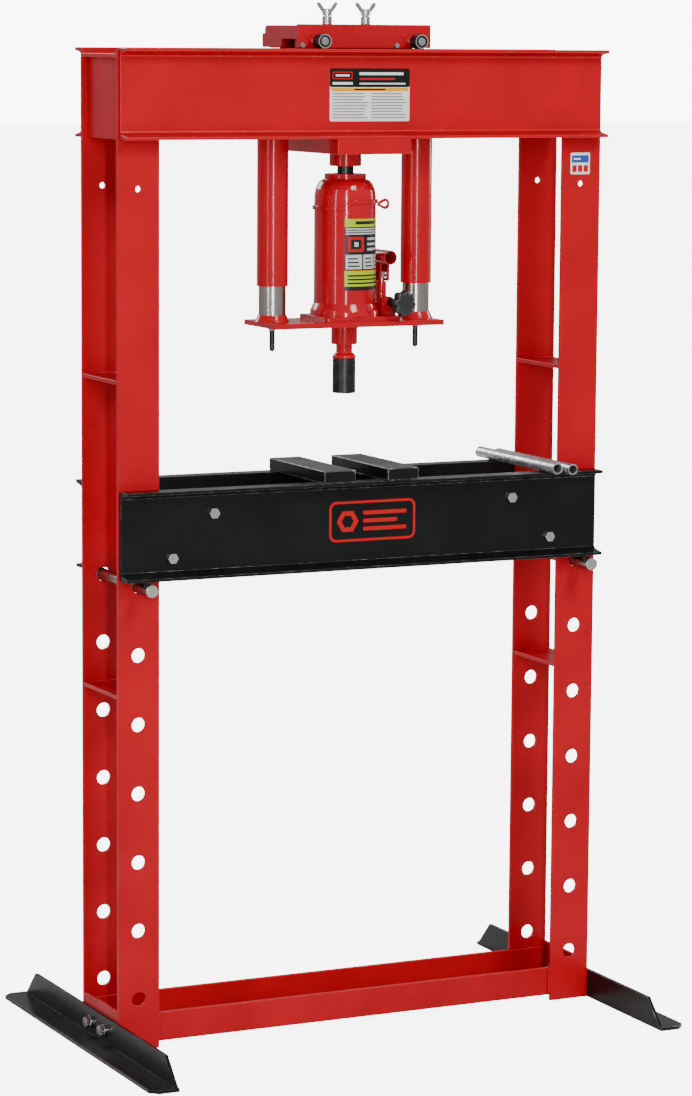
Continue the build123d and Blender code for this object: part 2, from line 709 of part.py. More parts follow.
# ---------------------------------------------------------------- list of sub-parts
def sub_parts():
    parts = {}
    for name_y, side_y in (("front", -1), ("rear", 1)):
        for name_x, side_x in (("left", -1), ("right", 1)):
            parts[f"upright_{name_y}_{name_x}"] = upright(side_x, side_y)
            parts[f"roller_{name_y}_{name_x}"] = roller(side_x, side_y)
        parts[f"top_channel_{name_y}"] = channel_along_x(side_y, BEAM_BOTTOM)
        parts[f"bed_channel_{name_y}"] = bed_channel(side_y)
    for name, side in (("left", -1), ("right", 1)):
        parts[f"foot_{name}"] = foot(side)
        parts[f"bed_pin_{name}"] = bed_pin(side)
        parts[f"press_block_{name}"] = press_block(side)
        parts[f"return_spring_{name}"] = return_spring(side)
        parts[f"wing_screw_{name}"] = wing_screw(side * WING_HALF_SPACING)
    parts["wing_sleeves"] = group(wing_sleeve(s * WING_HALF_SPACING) for s in (-1, 1))
    parts["handle_tube_long"] = handle_tube(352.0, 10.0, -142.0, 152.0)
    parts["handle_tube_short"] = handle_tube(373.0, 9.5, -160.0, 120.0)
    plain = (
        battens, end_plates, bottom_rail, foot_bolts, foot_nuts,
        bed_spacers, bed_bolts, bed_nuts,
        carriage_cover, carriage_ends, hanger_plates, head_block, guide_tubes,
        spring_pins, roller_axles, set_screws,
        press_plate, slide_tubes, weld_collars, spring_rods, rod_nuts, press_ram, press_nose,
        jack_base, jack_reservoir, jack_cylinder, jack_cap, jack_band, jack_ram, jack_screw,
        pump_block, pump_plunger, pump_arm, release_spindle, release_knob,
    )
    for make in plain:
        parts[make.__name__] = make()
    return parts


os.makedirs("parts", exist_ok=True)
for name, shape in sub_parts().items():
    export_step(shape, f"parts/{name}.step")
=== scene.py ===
"""Looks for a floor-standing hydraulic H-frame press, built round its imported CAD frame."""

import json
import math
import random

import bmesh
import bpy
from mathutils import Matrix, Vector, noise


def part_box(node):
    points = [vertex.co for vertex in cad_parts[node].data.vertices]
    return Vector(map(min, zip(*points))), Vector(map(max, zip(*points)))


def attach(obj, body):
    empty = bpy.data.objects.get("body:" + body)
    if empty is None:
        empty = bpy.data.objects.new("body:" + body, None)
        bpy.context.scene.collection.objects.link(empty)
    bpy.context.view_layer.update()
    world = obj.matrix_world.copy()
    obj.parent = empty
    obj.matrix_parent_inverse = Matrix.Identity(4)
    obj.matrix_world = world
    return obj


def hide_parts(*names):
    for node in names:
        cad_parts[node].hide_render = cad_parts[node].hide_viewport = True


MM = 0.001

# Camera: its place, where it points and its lens, for an upright picture.
CAMERA_PLACE = (-2.8418, -5.8944, 1.7420)
CAMERA_YAW = 25.79
CAMERA_PITCH = -7.83
CAMERA_ROLL = 0.40
CAMERA_LENS = 122.9

EDGE_WIDTH = 0.9 * MM
PRINT_THICK = 0.12 * MM

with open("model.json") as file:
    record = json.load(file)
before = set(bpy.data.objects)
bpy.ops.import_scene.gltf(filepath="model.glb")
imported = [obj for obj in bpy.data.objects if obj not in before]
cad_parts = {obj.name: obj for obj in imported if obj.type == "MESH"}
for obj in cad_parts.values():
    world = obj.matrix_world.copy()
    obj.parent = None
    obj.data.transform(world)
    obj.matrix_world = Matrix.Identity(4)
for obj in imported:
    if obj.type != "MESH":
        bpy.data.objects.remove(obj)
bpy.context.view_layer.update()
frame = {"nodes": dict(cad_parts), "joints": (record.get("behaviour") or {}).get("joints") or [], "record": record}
SLOTS = {part["node"]: part["material_slot"] for part in frame["record"]["subparts"]}
BODIES = {
    node: body
    for body, nodes in frame["record"]["behaviour"]["bodies"].items()
    for node in nodes
}


# ---------------------------------------------------------------- node helpers
def new_material(name):
    """A node material, its tree and its Principled shader."""
    material = bpy.data.materials.new(name)
    material.use_nodes = True
    tree = material.node_tree
    return material, tree, tree.nodes["Principled BSDF"]


def add(tree, kind, **inputs):
    """Adds a node and sets its unlinked sockets by name."""
    node = tree.nodes.new(kind)
    for key, value in inputs.items():
        node.inputs[key.replace("_", " ")].default_value = value
    return node


def noise_at(tree, scale, detail=3.0, roughness=0.5):
    """Noise in object space, in metres."""
    place = tree.nodes.new("ShaderNodeTexCoord")
    texture = add(tree, "ShaderNodeTexNoise", Scale=scale, Detail=detail, Roughness=roughness)
    tree.links.new(place.outputs["Object"], texture.inputs["Vector"])
    return texture


def spread(tree, source, low, high, start=0.3, end=0.7):
    """Maps a noise value between start and end onto low to high."""
    node = tree.nodes.new("ShaderNodeMapRange")
    node.inputs["From Min"].default_value = start
    node.inputs["From Max"].default_value = end
    node.inputs["To Min"].default_value = low
    node.inputs["To Max"].default_value = high
    tree.links.new(source, node.inputs["Value"])
    return node.outputs["Result"]


def two_colours(tree, factor, first, second):
    """Mixes two colours by a factor output."""
    node = tree.nodes.new("ShaderNodeMix")
    node.data_type = "RGBA"
    node.inputs["A"].default_value = (*first, 1)
    node.inputs["B"].default_value = (*second, 1)
    tree.links.new(factor, node.inputs["Factor"])
    return node.outputs["Result"]


def bumped(tree, shader, height, strength, distance):
    """Gives a shader a bump map from a height output."""
    node = add(tree, "ShaderNodeBump", Strength=strength, Distance=distance)
    tree.links.new(height, node.inputs["Height"])
    tree.links.new(node.outputs["Normal"], shader.inputs["Normal"])


# ---------------------------------------------------------------- materials
def sprayed_paint(name, colour, shade, rough, peel=0.10, coat=0.04):
    """Sprayed enamel: slight colour drift, orange peel and uneven gloss."""
    material, tree, shader = new_material(name)
    drift = noise_at(tree, 9.0, 4.0)
    grain = noise_at(tree, 420.0, 2.0)
    tone = two_colours(tree, spread(tree, drift.outputs["Fac"], 0, 1), colour, shade)
    tree.links.new(tone, shader.inputs["Base Color"])
    gloss = spread(tree, drift.outputs["Fac"], rough - 0.05, rough + 0.07)
    tree.links.new(gloss, shader.inputs["Roughness"])
    shader.inputs["Specular IOR Level"].default_value = 0.15
    shader.inputs["Coat Weight"].default_value = coat
    shader.inputs["Coat Roughness"].default_value = 0.07
    bumped(tree, shader, grain.outputs["Fac"], peel, 0.5 * MM)
    return material


def rubbed_highlit_edge(name, colour, bare_highlit, amount):
    """Paint on a corner, rubbed thin so that some of the metal shows, and lighter than the faces as a painted
    highlight along the edge.
    """
    material, tree, shader = new_material(name)
    rub = noise_at(tree, 60.0, 5.0, 0.65)
    mask = spread(tree, rub.outputs["Fac"], 0, 1, 0.62 - amount, 0.72 - amount)
    tone = two_colours(tree, mask, colour, bare_highlit)
    tree.links.new(tone, shader.inputs["Base Color"])
    tree.links.new(spread(tree, mask, 0.30, 0.45, 0, 1), shader.inputs["Roughness"])
    shader.inputs["Specular IOR Level"].default_value = 0.3
    return material


def metal(name, colour, shade, rough, scale=70.0, bump=0.05, stretch=None):
    """Bare or plated metal: cloudy, with painted shade that darkens its colour where the surface turns away from
    the view, and brushed where stretch is given.
    """
    material, tree, shader = new_material(name)
    cloud = noise_at(tree, scale, 5.0, 0.6)
    if stretch:
        mapping = add(tree, "ShaderNodeMapping", Scale=stretch)
        place = tree.nodes.new("ShaderNodeTexCoord")
        tree.links.new(place.outputs["Object"], mapping.inputs["Vector"])
        tree.links.new(mapping.outputs["Vector"], cloud.inputs["Vector"])
    tone = two_colours(tree, spread(tree, cloud.outputs["Fac"], 0, 1), colour, shade)
    # Painted shade: the base colour is darkened towards the outline by the angle to the view, not by the metal
    # itself.
    edge = add(tree, "ShaderNodeLayerWeight", Blend=0.5).outputs["Facing"]
    painted_rim_shade = two_colours(tree, spread(tree, edge, 0, 1, 0.25, 0.95), (1, 1, 1), (0.22, 0.22, 0.20))
    painted_shade_mix = tree.nodes.new("ShaderNodeMix")
    painted_shade_mix.data_type = "RGBA"
    painted_shade_mix.blend_type = "MULTIPLY"
    painted_shade_mix.inputs["Factor"].default_value = 1.0
    tree.links.new(tone, painted_shade_mix.inputs["A"])
    tree.links.new(painted_rim_shade, painted_shade_mix.inputs["B"])
    tree.links.new(painted_shade_mix.outputs["Result"], shader.inputs["Base Color"])
    gloss = spread(tree, cloud.outputs["Fac"], rough - 0.05, rough + 0.1)
    tree.links.new(gloss, shader.inputs["Roughness"])
    shader.inputs["Metallic"].default_value = 1.0
    bumped(tree, shader, cloud.outputs["Fac"], bump, 0.2 * MM)
    return material


def galvanised_steel(name):
    """Zinc spangle on a drawn tube."""
    material, tree, shader = new_material(name)
    place = tree.nodes.new("ShaderNodeTexCoord")
    cells = add(tree, "ShaderNodeTexVoronoi", Scale=160.0)
    tree.links.new(place.outputs["Object"], cells.inputs["Vector"])
    grey = tree.nodes.new("ShaderNodeSeparateColor")
    tree.links.new(cells.outputs["Color"], grey.inputs["Color"])
    tone = two_colours(tree, grey.outputs["Red"], (0.30, 0.31, 0.32), (0.62, 0.63, 0.64))
    tree.links.new(tone, shader.inputs["Base Color"])
    tree.links.new(spread(tree, grey.outputs["Green"], 0.28, 0.48, 0, 1), shader.inputs["Roughness"])
    shader.inputs["Metallic"].default_value = 0.9
    bumped(tree, shader, cells.outputs["Distance"], 0.06, 0.2 * MM)
    return material


def moulded_plastic(name, colour):
    """Fine-grained plastic."""
    material, tree, shader = new_material(name)
    grain = noise_at(tree, 900.0, 2.0)
    tone = two_colours(tree, grain.outputs["Fac"], colour, [c * 1.6 for c in colour])
    tree.links.new(tone, shader.inputs["Base Color"])
    shader.inputs["Roughness"].default_value = 0.38
    bumped(tree, shader, grain.outputs["Fac"], 0.15, 0.2 * MM)
    return material


def printed(name, colour, rough=0.3):
    """Printed vinyl: one ink with a faint unevenness under a clear film."""
    material, tree, shader = new_material(name)
    ink = noise_at(tree, 300.0, 3.0)
    tone = two_colours(tree, ink.outputs["Fac"], colour, [c * 0.86 for c in colour])
    tree.links.new(tone, shader.inputs["Base Color"])
    shader.inputs["Roughness"].default_value = rough
    shader.inputs["Specular IOR Level"].default_value = 0.2
    return material


RED = (0.47, 0.0003, 0.0085)
RED_SHADE = (0.38, 0.0002, 0.0065)
JACK_RED = (0.45, 0.0004, 0.010)
JACK_RED_SHADE = (0.36, 0.0003, 0.008)
# Edge colours: rubbed paint and primer, both lighter than the faces as a painted highlight.
RUBBED_HIGHLIT_RED = (0.52, 0.006, 0.008)
HIGHLIT_PRIMER = (0.58, 0.07, 0.05)
BLACK = (0.0030, 0.0034, 0.0036)
BLACK_SHADE = (0.0060, 0.0064, 0.0066)
DRAWN_ALONG_Z = (1.0, 1.0, 0.08)

MATERIALS = {
    "frame_paint": sprayed_paint("frame_red", RED, RED_SHADE, 0.36, 0.16),
    "press_paint": sprayed_paint("press_red", RED, RED_SHADE, 0.25, 0.08, 0.35),
    "jack_paint": sprayed_paint("jack_red", JACK_RED, JACK_RED_SHADE, 0.18, 0.05, 0.5),
    "black_paint": sprayed_paint("frame_black", BLACK, BLACK_SHADE, 0.30, 0.14, 0.10),
    "zinc": metal("zinc_plate", (0.68, 0.68, 0.66), (0.42, 0.42, 0.40), 0.22),
    "polished_steel": metal("polished_chrome", (0.74, 0.74, 0.72), (0.58, 0.58, 0.55), 0.12, 30.0, 0.02),
    "galvanised": galvanised_steel("galvanised_tube"),
    "dark_steel": metal("blackened_steel", (0.035, 0.035, 0.038), (0.06, 0.058, 0.055), 0.33),
    "knob_plastic": moulded_plastic("knob_black", (0.012, 0.012, 0.013)),
}
# Edge materials: rubbed paint with a painted highlight along the rounded corners.
EDGES = {
    "frame_paint": rubbed_highlit_edge("frame_red_edge", RUBBED_HIGHLIT_RED, HIGHLIT_PRIMER, 0.05),
    "press_paint": rubbed_highlit_edge("press_red_edge", RUBBED_HIGHLIT_RED, HIGHLIT_PRIMER, 0.05),
    "jack_paint": rubbed_highlit_edge("jack_red_edge", (0.45, 0.004, 0.006), (0.52, 0.06, 0.04), 0.03),
    "black_paint": rubbed_highlit_edge("frame_black_edge", (0.06, 0.06, 0.06), (0.38, 0.37, 0.35), 0.12),
}
SATIN_TUBE = metal(
    "satin_tube", (0.58, 0.57, 0.51), (0.40, 0.39, 0.34), 0.20, 40.0, 0.03, DRAWN_ALONG_Z
)
BRIGHT_RIM = metal("bright_rim", (0.80, 0.80, 0.78), (0.60, 0.60, 0.58), 0.20)
# Plain CAD pieces that look different from the rest of their slot.
OTHER_FINISH = {
    "slide_tubes": SATIN_TUBE,
    "release_spindle": MATERIALS["dark_steel"],
    "roller_front_left": MATERIALS["dark_steel"],
    "roller_front_right": MATERIALS["dark_steel"],
    "roller_rear_left": MATERIALS["dark_steel"],
    "roller_rear_right": MATERIALS["dark_steel"],
}
INK_WHITE = printed("ink_white", (0.80, 0.80, 0.78))
INK_GREY = printed("ink_grey", (0.25, 0.25, 0.25))
INK_BLACK = printed("ink_black", (0.015, 0.014, 0.014))
INK_LIME = printed("ink_lime", (0.38, 0.52, 0.003))
INK_AMBER = printed("ink_amber", (0.80, 0.34, 0.002))
INK_DARK = printed("ink_dark", (0.006, 0.010, 0.008))
INK_BLUE = printed("ink_blue", (0.03, 0.07, 0.35))
INK_RED = printed("ink_red", (0.50, 0.004, 0.006))
INK_SILVER = printed("ink_silver", (0.50, 0.52, 0.52), 0.2)


# ---------------------------------------------------------------- mesh helpers
def to_object(name, bm, materials, smooth_angle=35.0):
    """Turns a bmesh into a shown object, smooth except across its sharp edges."""
    mesh = bpy.data.meshes.new(name)
    bmesh.ops.recalc_face_normals(bm, faces=bm.faces)
    bm.to_mesh(mesh)
    bm.free()
    for material in materials:
        mesh.materials.append(material)
    for polygon in mesh.polygons:
        polygon.use_smooth = True
    mesh.set_sharp_from_angle(angle=math.radians(smooth_angle))
    piece = bpy.data.objects.new(name, mesh)
    bpy.context.scene.collection.objects.link(piece)
    flatten = piece.modifiers.new("flat_faces", "WEIGHTED_NORMAL")
    flatten.weight = 100
    flatten.keep_sharp = True
    return piece


def rounded_copy(node, width=EDGE_WIDTH, sharp=38.0):
    """A CAD node's own shape with its sharp edges rounded, rubbed and painted lighter as a highlight."""
    slot = SLOTS[node]
    bm = bmesh.new()
    bm.from_mesh(frame["nodes"][node].data)
    bmesh.ops.remove_doubles(bm, verts=bm.verts, dist=0.01 * MM)
    bmesh.ops.dissolve_limit(bm, angle_limit=math.radians(0.4), verts=bm.verts, edges=bm.edges)
    for face in bm.faces:
        face.material_index = 0
    corners = [
        edge
        for edge in bm.edges
        if len(edge.link_faces) == 2 and edge.calc_face_angle() > math.radians(sharp)
    ]
    bmesh.ops.bevel(
        bm,
        geom=corners,
        offset=width,
        segments=2,
        profile=0.5,
        affect="EDGES",
        clamp_overlap=True,
        material=1,
    )
    piece = to_object(node + "_finished", bm, [MATERIALS[slot], EDGES.get(slot, MATERIALS[slot])])
    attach(piece, BODIES[node])
    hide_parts(node)
    return piece


def bead(name, points, radius, body, slot, closed=False, pitch=3.2 * MM):
    """A weld bead: a rippled, slightly uneven tube laid along a line of points."""
    bm = bmesh.new()
    sides = 8
    rings = []
    travelled = 0.0
    count = len(points)
    for number, point in enumerate(points):
        ahead = points[(number + 1) % count] if closed or number + 1 < count else point
        behind = points[number - 1] if closed or number > 0 else point
        along = (ahead - behind).normalized()
        across = along.orthogonal() if abs(along.z) > 0.9 else along.cross(Vector((0, 0, 1)))
        across.normalize()
        up = along.cross(across)
        if number:
            travelled += (point - points[number - 1]).length
        ripple = 1 + 0.14 * abs(math.sin(math.pi * travelled / pitch))
        ripple *= 1 + 0.12 * noise.noise(point * 170)
        if not closed and number in (0, count - 1):
            ripple *= 0.45
        ring = []
        for side in range(sides):
            angle = 2 * math.pi * side / sides
            offset = across * math.cos(angle) + up * math.sin(angle)
            ring.append(bm.verts.new(point + offset * radius * ripple))
        rings.append(ring)
    skin_loops(bm, rings, closed)
    if not closed:
        bm.faces.new(rings[0])
        bm.faces.new(rings[-1])
    piece = to_object(name, bm, [MATERIALS[slot]], 80)
    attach(piece, body)
    return piece


def skin_loops(bm, loops, closed):
    """Joins neighbouring loops of equal length with faces, and the last to the first if closed."""
    followers = loops[1:] + loops[:1] if closed else loops[1:]
    for first, second in zip(loops, followers):
        for number in range(len(first)):
            after = (number + 1) % len(first)
            bm.faces.new((first[number], first[after], second[after], second[number]))


def line_points(start, end, step=0.8 * MM):
    """Evenly spaced points from start to end."""
    start, end = Vector(start), Vector(end)
    count = max(3, int((end - start).length / step))
    return [start.lerp(end, number / count) for number in range(count + 1)]


def ring_points(centre, radius, count=96):
    """Points on a level circle."""
    return [
        Vector(centre)
        + Vector((math.cos(2 * math.pi * n / count), math.sin(2 * math.pi * n / count), 0)) * radius
        for n in range(count)
    ]


def plate_outline(width, height, corner, steps=6):
    """Corner-rounded rectangle round the origin, as (x, z) points."""
    points = []
    for quarter, (sx, sz) in enumerate(((1, 1), (-1, 1), (-1, -1), (1, -1))):
        for number in range(steps + 1):
            angle = math.pi / 2 * (quarter + number / steps)
            x = sx * (width / 2 - corner) + corner * math.cos(angle)
            z = sz * (height / 2 - corner) + corner * math.sin(angle)
            points.append((x, z))
    return points


def add_plate(bm, outline, centre, front, thick, material, hole=None):
    """A thin plate facing -Y with its back on y = front + thick. A hole makes it a frame."""
    x, z = centre
    loops = []
    for depth in (front, front + thick):
        loops.append([bm.verts.new((x + px, depth, z + pz)) for px, pz in outline])
        if hole:
            loops.append([bm.verts.new((x + px, depth, z + pz)) for px, pz in hole])
    count = len(outline)
    faces = []
    if hole:
        outer_front, inner_front, outer_back, inner_back = loops
        pairs = [
            (outer_front, inner_front),
            (outer_back, inner_back),
            (outer_front, outer_back),
            (inner_front, inner_back),
        ]
    else:
        outer_front, outer_back = loops
        pairs = [(outer_front, outer_back)]
        faces.append(bm.faces.new(outer_front))
        faces.append(bm.faces.new(outer_back))
    for first, second in pairs:
        for number in range(count):
            after = (number + 1) % count
            corners = (first[number], first[after], second[after], second[number])
            faces.append(bm.faces.new(corners))
    for face in faces:
        face.material_index = material


def add_bar(bm, x, z, width, height, front, material, corner=0.3 * MM):
    """A printed bar with slightly rounded ends."""
    outline = plate_outline(width, height, min(corner, height / 2.2), 3)
    add_plate(bm, outline, (x, z), front, PRINT_THICK, material)


# ---------------------------------------------------------------- places read from the frame
upright_low, upright_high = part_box("upright_front_right")
beam_low, beam_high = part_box("top_channel_front")
tank_low, tank_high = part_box("jack_reservoir")
STRIP_FACE_Y = -upright_low.y       # outer and inner faces of the upright strips
STRIP_BACK_Y = -upright_high.y
WEB_THICK = 6 * MM
WEB_FACE_Y = beam_high.y - WEB_THICK
INNER_X = upright_low.x             # inner and outer edges of the upright strips
OUTER_X = upright_high.x
PANEL_INSET = 10 * MM
SOCKET_DEPTH = 23.5 * MM
WING_X = 37 * MM


# ---------------------------------------------------------------- finished CAD pieces
# Nodes with rounded edges, worn and painted lighter as a highlight, and each one's edge width in mm.
ROUNDED = {
    "upright_front_left": 0.9, "upright_front_right": 0.9, "upright_rear_left": 0.9,
    "upright_rear_right": 0.9, "top_channel_front": 1.2, "top_channel_rear": 1.2,
    "bed_channel_front": 1.2, "bed_channel_rear": 1.2, "bottom_rail": 1.2, "battens": 0.6,
    "end_plates": 0.6, "foot_left": 1.0, "foot_right": 1.0, "press_block_left": 0.8,
    "press_block_right": 0.8, "carriage_cover": 0.8, "carriage_ends": 0.5, "head_block": 1.0,
    "press_plate": 0.9, "hanger_plates": 0.6, "jack_base": 1.0, "pump_arm": 0.5,
    "pump_block": 0.4, "jack_cap": 0.8, "press_nose": 0.5, "press_ram": 0.6,
    "foot_bolts": 0.4, "foot_nuts": 0.4, "bed_bolts": 0.4, "bed_nuts": 0.4, "set_screws": 0.3,
    "rod_nuts": 0.4, "wing_screw_left": 0.5, "wing_screw_right": 0.5, "wing_sleeves": 0.4,
    "roller_axles": 0.4,
}


def finish_frame():
    """Rounds the edges of the listed nodes and gives the others their materials."""
    for node, width in ROUNDED.items():
        rounded_copy(node, width * MM)
    for node, slot in SLOTS.items():
        if node in ROUNDED:
            continue
        mesh = frame["nodes"][node].data
        mesh.materials.clear()
        mesh.materials.append(OTHER_FINISH.get(node, MATERIALS[slot]))


def beam_end_panels():
    """Plates that close the space between the two beams, set in from the uprights' outer edge."""
    thick = STRIP_FACE_Y - STRIP_BACK_Y
    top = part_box("battens")[1].z - thick
    height = top - beam_low.z
    for side, name in ((-1, "left"), (1, "right")):
        bm = bmesh.new()
        bmesh.ops.create_cube(bm, size=1.0)
        bmesh.ops.scale(bm, vec=(thick, 2 * STRIP_BACK_Y, height), verts=bm.verts)
        x = side * (OUTER_X - PANEL_INSET - thick / 2)
        bmesh.ops.translate(bm, vec=(x, 0, beam_low.z + height / 2), verts=bm.verts)
        bmesh.ops.bevel(bm, geom=bm.edges[:], offset=0.6 * MM, segments=2, profile=0.5, affect="EDGES")
        panel = to_object("beam_end_panel_" + name, bm, [MATERIALS["frame_paint"]])
        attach(panel, "frame")


def frame_welds(side, side_name, face, face_name, levels):
    """Beads at one upright strip: battens, bottom rail and beam."""
    rail_low, rail_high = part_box("bottom_rail")
    ending = f"{side_name}_{face_name}"
    y = face * (STRIP_BACK_Y - 0.5 * MM)
    for number, level in enumerate(levels):
        start = (side * (INNER_X + 2 * MM), y, level)
        end = (side * (OUTER_X - 2 * MM), y, level)
        points = line_points(start, end)
        bead(f"batten_weld_{ending}_{number}", points, 2.6 * MM, "frame", "frame_paint")
    x = side * (INNER_X - 0.4 * MM)
    y = face * (STRIP_BACK_Y + 1.5 * MM)
    points = line_points((x, y, rail_low.z + 3 * MM), (x, y, rail_high.z - 1 * MM))
    bead(f"rail_weld_{ending}", points, 3.0 * MM, "frame", "frame_paint")
    y = face * (STRIP_FACE_Y + 0.6 * MM)
    z = beam_low.z - 0.4 * MM
    points = line_points((side * (INNER_X + 3 * MM), y, z), (side * (OUTER_X - 6 * MM), y, z))
    bead(f"beam_weld_{ending}", points, 2.6 * MM, "frame", "frame_paint")


def ring_weld(name, centre, radius, thick, body, count=96):
    bead(name, ring_points(centre, radius, count), thick, body, "press_paint", True)


def welds():
    """All weld beads: those of the frame, then the rings under the sockets and sleeves."""
    levels = sorted({round(v.co.z, 5) for v in frame["nodes"]["battens"].data.vertices})
    for side, side_name in ((-1, "left"), (1, "right")):
        for face, face_name in ((-1, "front"), (1, "rear")):
            frame_welds(side, side_name, face, face_name, levels)
    socket_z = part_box("head_block")[0].z + SOCKET_DEPTH
    plate_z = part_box("press_plate")[0].z
    sleeve_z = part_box("wing_sleeves")[0].z
    ring_weld("socket_weld", (0, 0, socket_z), 28.2 * MM, 2.4 * MM, "carriage")
    ring_weld("boss_weld", (0, 0, plate_z), 23.4 * MM, 2.4 * MM, "press_head")
    for x, name in ((-WING_X, "left"), (WING_X, "right")):
        ring_weld("sleeve_weld_" + name, (x, 0, sleeve_z), 8.8 * MM, 1.3 * MM, "carriage", 48)


# ---------------------------------------------------------------- printed marks, all generic
def beam_label():
    """Data label: dark header, amber strip and a pale panel with rows of plain bars."""
    white, dark, amber, grey, red = range(5)
    bm = bmesh.new()
    front = WEB_FACE_Y - PRINT_THICK
    top = front - PRINT_THICK
    over = top - PRINT_THICK
    x, z = 3 * MM, 1638 * MM
    width, height = 152 * MM, 90 * MM
    add_plate(bm, plate_outline(width, height, 3 * MM), (x, z), front, PRINT_THICK, white)
    header = plate_outline(width, 32 * MM, 3 * MM)
    add_plate(bm, header, (x, z + 29 * MM), top, PRINT_THICK, dark)
    add_bar(bm, x, z + 9 * MM, 146 * MM, 6 * MM, top, amber, 1 * MM)
    box = plate_outline(38 * MM, 13 * MM, 1.5 * MM, 3)
    inside = plate_outline(34 * MM, 9 * MM, 1 * MM, 3)
    add_plate(bm, box, (x - 52 * MM, z + 33 * MM), over, PRINT_THICK, red, inside)
    # Bars on the header and the strip: place from the middle, size and ink.
    for right, up, long, tall, ink in (
        (-52, 33, 26, 3.4, white),
        (-52, 19.5, 38, 4.2, white),
        (22, 36, 84, 4.6, white),
        (14, 27, 68, 3.0, red),
        (24, 19, 88, 2.4, white),
        (0, 9, 60, 2.6, dark),
    ):
        add_bar(bm, x + right * MM, z + up * MM, long * MM, tall * MM, over, ink)
    randomly = random.Random(4)
    for row in range(9):
        level = z + (2 - 5.1 * row) * MM
        for column in (-1, 1):
            length = (58 + 11 * randomly.random()) * MM
            left = x + (-71 if column < 0 else 3) * MM
            add_bar(bm, left + length / 2, level, length, 2.1 * MM, top, grey)
    inks = [INK_WHITE, INK_DARK, INK_AMBER, INK_GREY, INK_RED]
    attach(to_object("beam_label", bm, inks), "frame")


def bed_mark():
    """Red frame round a plain nut-and-bars pictogram."""
    bm = bmesh.new()
    front = WEB_FACE_Y - PRINT_THICK
    x, z = 14.5 * MM, 901.5 * MM
    width, height = 167 * MM, 71 * MM
    outer = plate_outline(width, height, 13 * MM, 8)
    inner = plate_outline(width - 9 * MM, height - 9 * MM, 9 * MM, 8)
    add_plate(bm, outer, (x, z), front, PRINT_THICK, 0, inner)
    nut = [(21 * MM * math.cos(math.pi / 3 * n), 21 * MM * math.sin(math.pi / 3 * n)) for n in range(6)]
    hole = [(px * 0.55, pz * 0.55) for px, pz in nut]
    add_plate(bm, nut, (x - 48 * MM, z), front, PRINT_THICK, 0, hole)
    for row, length in ((1, 84), (0, 66), (-1, 84)):
        left = x - 18 * MM
        add_bar(bm, left + length / 2 * MM, z + row * 14 * MM, length * MM, 7 * MM, front, 0, 1.5 * MM)
    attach(to_object("bed_mark", bm, [INK_RED]), "bed")


def upright_label():
    """Small square sticker in white with a blue band and a row of red blocks."""
    white, blue, red = range(3)
    bm = bmesh.new()
    front = -STRIP_FACE_Y - PRINT_THICK
    top = front - PRINT_THICK
    x, z = 421.5 * MM, 1517 * MM
    add_plate(bm, plate_outline(39 * MM, 38 * MM, 3 * MM), (x, z), front, PRINT_THICK, white)
    add_bar(bm, x, z + 8 * MM, 34 * MM, 13 * MM, top, blue, 1.5 * MM)
    add_bar(bm, x - 6 * MM, z + 8 * MM, 14 * MM, 3 * MM, top - PRINT_THICK, white)
    for column in (-1, 0, 1):
        add_bar(bm, x + column * 11.5 * MM, z - 9 * MM, 9 * MM, 12 * MM, top, red, 1 * MM)
    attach(to_object("upright_label", bm, [INK_WHITE, INK_BLUE, INK_RED]), "frame")


def add_wrap(bm, start, end, low, high, radius, material):
    """A curved patch round the tank; angles in degrees from -Y towards +X."""
    columns = max(2, int((end - start) / 2.5))
    rims = []
    for level in (low, high):
        rim = []
        for number in range(columns + 1):
            angle = math.radians(start + (end - start) * number / columns)
            for layer in (radius, radius + PRINT_THICK):
                place = (layer * math.sin(angle), -layer * math.cos(angle), level)
                rim.append(bm.verts.new(place))
        rims.append(rim)
    bottom, top = rims
    faces = []
    for number in range(columns):
        i, j = 2 * number, 2 * number + 2
        faces.append(bm.faces.new((bottom[i + 1], bottom[j + 1], top[j + 1], top[i + 1])))
        faces.append(bm.faces.new((bottom[i], top[i], top[j], bottom[j])))
        faces.append(bm.faces.new((top[i], top[i + 1], top[j + 1], top[j])))
        faces.append(bm.faces.new((bottom[i], bottom[j], bottom[j + 1], bottom[i + 1])))
    for i in (0, 2 * columns):
        faces.append(bm.faces.new((bottom[i], bottom[i + 1], top[i + 1], top[i])))
    for face in faces:
        face.material_index = material


def jack_label():
    """Wrap-round label: lime bands, a black panel with a square and bars, and silver blocks."""
    lime, black, silver, red, amber = range(5)
    bm = bmesh.new()
    base = tank_high.x + 0.05 * MM

    def band(start, end, low, high, layer, ink):
        """A patch between two heights in mm above the tank's foot, on a numbered layer."""
        foot = tank_low.z
        radius = base + layer * PRINT_THICK
        add_wrap(bm, start, end, foot + low * MM, foot + high * MM, radius, ink)

    band(-26, 74, 24, 148, 0, black)
    band(60, 74, 1, 24, 0, lime)
    band(-26, 74, 134, 148, 1, lime)
    band(-26, 74, 31, 58.5, 1, lime)
    band(-26, 74, 56.5, 58.5, 2, amber)
    band(-6, 44, 138.5, 144, 2, black)
    for row in range(3):
        band(-24, 72, 121 + 4.2 * row, 123.4 + 4.2 * row, 1, silver)
    for start, end in ((-24, 8), (11, 40), (43, 72)):
        band(start, end, 61, 86, 1, silver)
        for row in range(3):
            band(start + 4, end - 5 - 2 * row, 65 + 6.5 * row, 67.4 + 6.5 * row, 2, black)
    for row in range(3):
        band(20, 66 - 9 * row, 93 + 9 * row, 97 + 9 * row, 1, silver)
        band(-20, 64 - 10 * (row % 2), 35 + 6.5 * row, 38 + 6.5 * row, 2, black)
    band(-20, 12, 91, 117, 1, red)
    band(-14, 6, 96, 112, 2, black)
    band(-8, 0, 100, 108, 3, silver)
    inks = [INK_LIME, INK_BLACK, INK_SILVER, INK_RED, INK_AMBER]
    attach(to_object("jack_label", bm, inks), "press_head")


